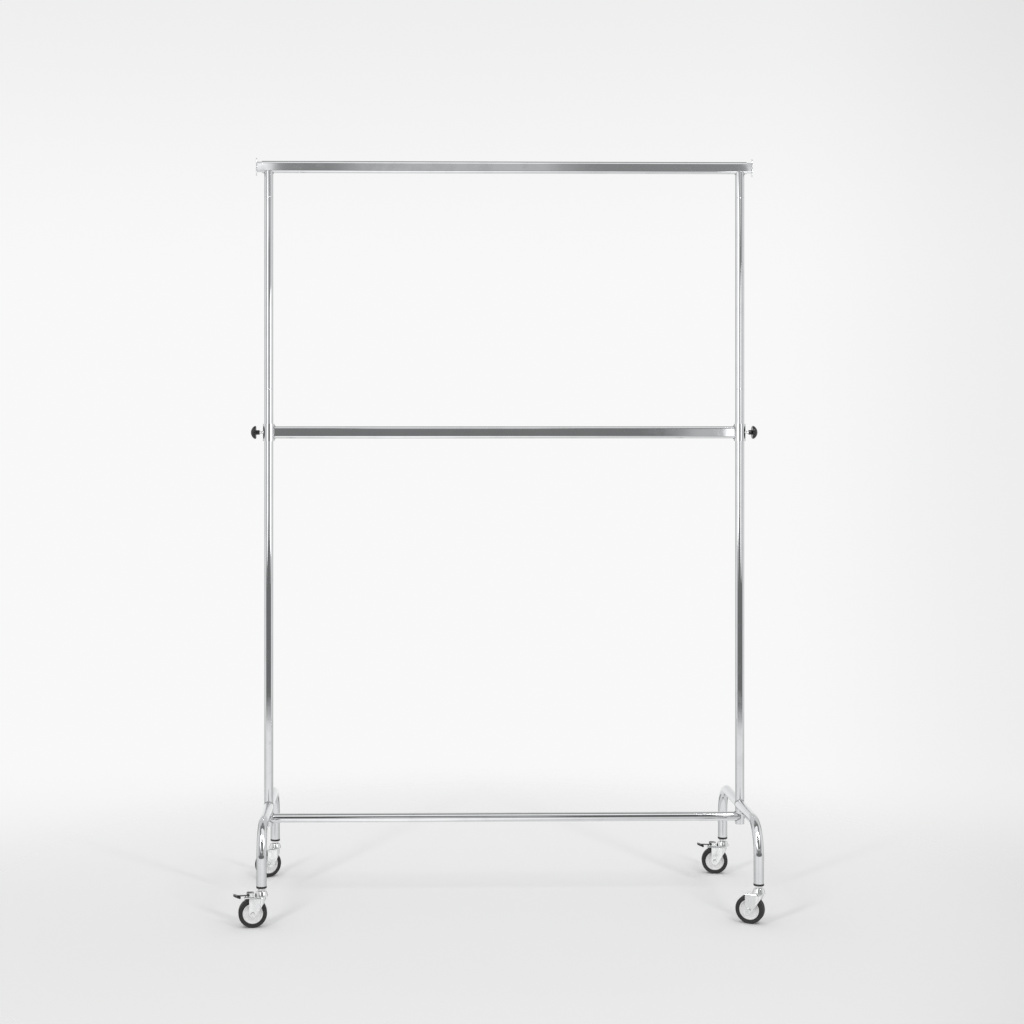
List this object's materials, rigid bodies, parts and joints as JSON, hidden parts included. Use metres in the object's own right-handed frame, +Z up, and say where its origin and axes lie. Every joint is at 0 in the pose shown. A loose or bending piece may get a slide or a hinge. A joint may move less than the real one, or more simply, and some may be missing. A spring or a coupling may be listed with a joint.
{
  "type": "rolling clothes rack",
  "caption": "Free-standing chrome clothes rack on swivel casters, with a fixed top rail, pull-out end arms and a lower rail whose height is set by clamp knobs.",
  "frame": {"origin": "on the floor, midway between the four caster stems", "axes": "+X along the rails to the right as seen from the front, +Y to the rear, +Z up"},
  "size_m": [1.4334, 0.5597, 2.056],
  "materials": {
    "chrome_tube": "bright chrome plating",
    "bare_steel": "plain drawn steel",
    "zinc_hardware": "bright zinc plating",
    "zinc_sheet": "bright zinc plating on pressed sheet",
    "dark_steel": "black coating",
    "black_plastic": "satin moulded plastic",
    "nylon_pad": "natural nylon",
    "grey_plastic": "satin moulded plastic",
    "black_rubber": "matt rubber"
  },
  "bodies": {
    "frame": {"left_base_hoop": "chrome_tube", "right_base_hoop": "chrome_tube", "left_base_stub": "chrome_tube", "right_base_stub": "chrome_tube", "left_lower_upright": "chrome_tube", "right_lower_upright": "chrome_tube", "left_upper_upright": "chrome_tube", "right_upper_upright": "chrome_tube", "left_rail_post": "chrome_tube", "right_rail_post": "chrome_tube", "foot_spigots": "bare_steel", "upright_couplers": "bare_steel", "post_plugs": "bare_steel", "top_rail": "chrome_tube", "lower_crossbar": "chrome_tube", "crossbar_inserts": "bare_steel", "crossbar_bolts": "zinc_hardware", "leg_inserts": "black_plastic", "caster_stems": "zinc_hardware", "swivel_balls": "zinc_hardware"},
    "mid_rail": {"mid_rail": "chrome_tube", "left_rail_sleeve": "chrome_tube", "right_rail_sleeve": "chrome_tube"},
    "left_arm": {"left_extension_arm": "chrome_tube", "left_stop_plate": "chrome_tube", "left_arm_glide": "black_plastic"},
    "left_pad": {"left_clamp_pad": "nylon_pad"},
    "left_knob": {"left_clamp_knob": "black_plastic", "left_clamp_screw": "zinc_hardware"},
    "right_arm": {"right_extension_arm": "chrome_tube", "right_stop_plate": "chrome_tube", "right_arm_glide": "black_plastic"},
    "right_pad": {"right_clamp_pad": "nylon_pad"},
    "right_knob": {"right_clamp_knob": "black_plastic", "right_clamp_screw": "zinc_hardware"},
    "front_left_caster": {"front_left_fork": "zinc_sheet", "front_left_axle": "zinc_hardware", "front_left_brake_pin": "dark_steel"},
    "front_left_wheel": {"front_left_hub": "grey_plastic", "front_left_tyre": "black_rubber"},
    "front_left_brake": {"front_left_brake_lever": "dark_steel", "front_left_brake_pedal": "black_plastic"},
    "front_right_caster": {"front_right_fork": "zinc_sheet", "front_right_axle": "zinc_hardware"},
    "front_right_wheel": {"front_right_hub": "grey_plastic", "front_right_tyre": "black_rubber"},
    "rear_left_caster": {"rear_left_fork": "zinc_sheet", "rear_left_axle": "zinc_hardware"},
    "rear_left_wheel": {"rear_left_hub": "grey_plastic", "rear_left_tyre": "black_rubber"},
    "rear_right_caster": {"rear_right_fork": "zinc_sheet", "rear_right_axle": "zinc_hardware", "rear_right_brake_pin": "dark_steel"},
    "rear_right_wheel": {"rear_right_hub": "grey_plastic", "rear_right_tyre": "black_rubber"},
    "rear_right_brake": {"rear_right_brake_lever": "dark_steel", "rear_right_brake_pedal": "black_plastic"}
  },
  "joints": [
    {"name": "mid_rail_height", "type": "slide", "parent": "frame", "child": "mid_rail", "axis": [0, 0, 1], "range_m": [-0.985, 0.68]},
    {"name": "left_arm_pull", "type": "slide", "parent": "frame", "child": "left_arm", "axis": [-1, 0, 0], "range_m": [0, 0.3]},
    {"name": "left_pad_travel", "type": "slide", "parent": "mid_rail", "child": "left_pad", "axis": [-1, 0, 0], "range_m": [0, 0.00375]},
    {"name": "left_knob_turn", "type": "hinge", "parent": "left_pad", "child": "left_knob", "pos_m": [-0.695, 0, 1.295], "axis": [-1, 0, 0], "range_deg": [0, 1080]},
    {"name": "right_arm_pull", "type": "slide", "parent": "frame", "child": "right_arm", "axis": [1, 0, 0], "range_m": [0, 0.3]},
    {"name": "right_pad_travel", "type": "slide", "parent": "mid_rail", "child": "right_pad", "axis": [1, 0, 0], "range_m": [0, 0.00375]},
    {"name": "right_knob_turn", "type": "hinge", "parent": "right_pad", "child": "right_knob", "pos_m": [0.695, 0, 1.295], "axis": [1, 0, 0], "range_deg": [0, 1080]},
    {"name": "front_left_swivel", "type": "hinge", "parent": "frame", "child": "front_left_caster", "pos_m": [-0.655, -0.255, 0.1], "axis": [0, 0, 1], "continuous": true},
    {"name": "front_left_roll", "type": "hinge", "parent": "front_left_caster", "child": "front_left_wheel", "pos_m": [-0.67787, -0.2574, 0.0375], "axis": [-0.1045, 0.9945, 0], "continuous": true},
    {"name": "front_left_brake", "type": "hinge", "parent": "front_left_caster", "child": "front_left_brake", "pos_m": [-0.68981, -0.25866, 0.0865], "axis": [0.1045, -0.9945, 0], "range_deg": [0, 14]},
    {"name": "front_right_swivel", "type": "hinge", "parent": "frame", "child": "front_right_caster", "pos_m": [0.655, -0.255, 0.1], "axis": [0, 0, 1], "continuous": true},
    {"name": "front_right_roll", "type": "hinge", "parent": "front_right_caster", "child": "front_right_wheel", "pos_m": [0.63433, -0.24492, 0.0375], "axis": [0.4384, 0.8988, 0], "continuous": true},
    {"name": "rear_left_swivel", "type": "hinge", "parent": "frame", "child": "rear_left_caster", "pos_m": [-0.655, 0.255, 0.1], "axis": [0, 0, 1], "continuous": true},
    {"name": "rear_left_roll", "type": "hinge", "parent": "rear_left_caster", "child": "rear_left_wheel", "pos_m": [-0.67492, 0.2435, 0.0375], "axis": [-0.5, 0.866, 0], "continuous": true},
    {"name": "rear_right_swivel", "type": "hinge", "parent": "frame", "child": "rear_right_caster", "pos_m": [0.655, 0.255, 0.1], "axis": [0, 0, 1], "continuous": true},
    {"name": "rear_right_roll", "type": "hinge", "parent": "rear_right_caster", "child": "rear_right_wheel", "pos_m": [0.63222, 0.2582, 0.0375], "axis": [0.1392, 0.9903, 0], "continuous": true},
    {"name": "rear_right_brake", "type": "hinge", "parent": "rear_right_caster", "child": "rear_right_brake", "pos_m": [0.62034, 0.25987, 0.0865], "axis": [-0.1392, -0.9903, 0], "range_deg": [0, 14]}
  ],
  "couplings": [
    {"joint": "left_pad_travel", "follows": "left_knob_turn", "m_per_rad": 0.00019894},
    {"joint": "right_pad_travel", "follows": "right_knob_turn", "m_per_rad": 0.00019894}
  ]
}
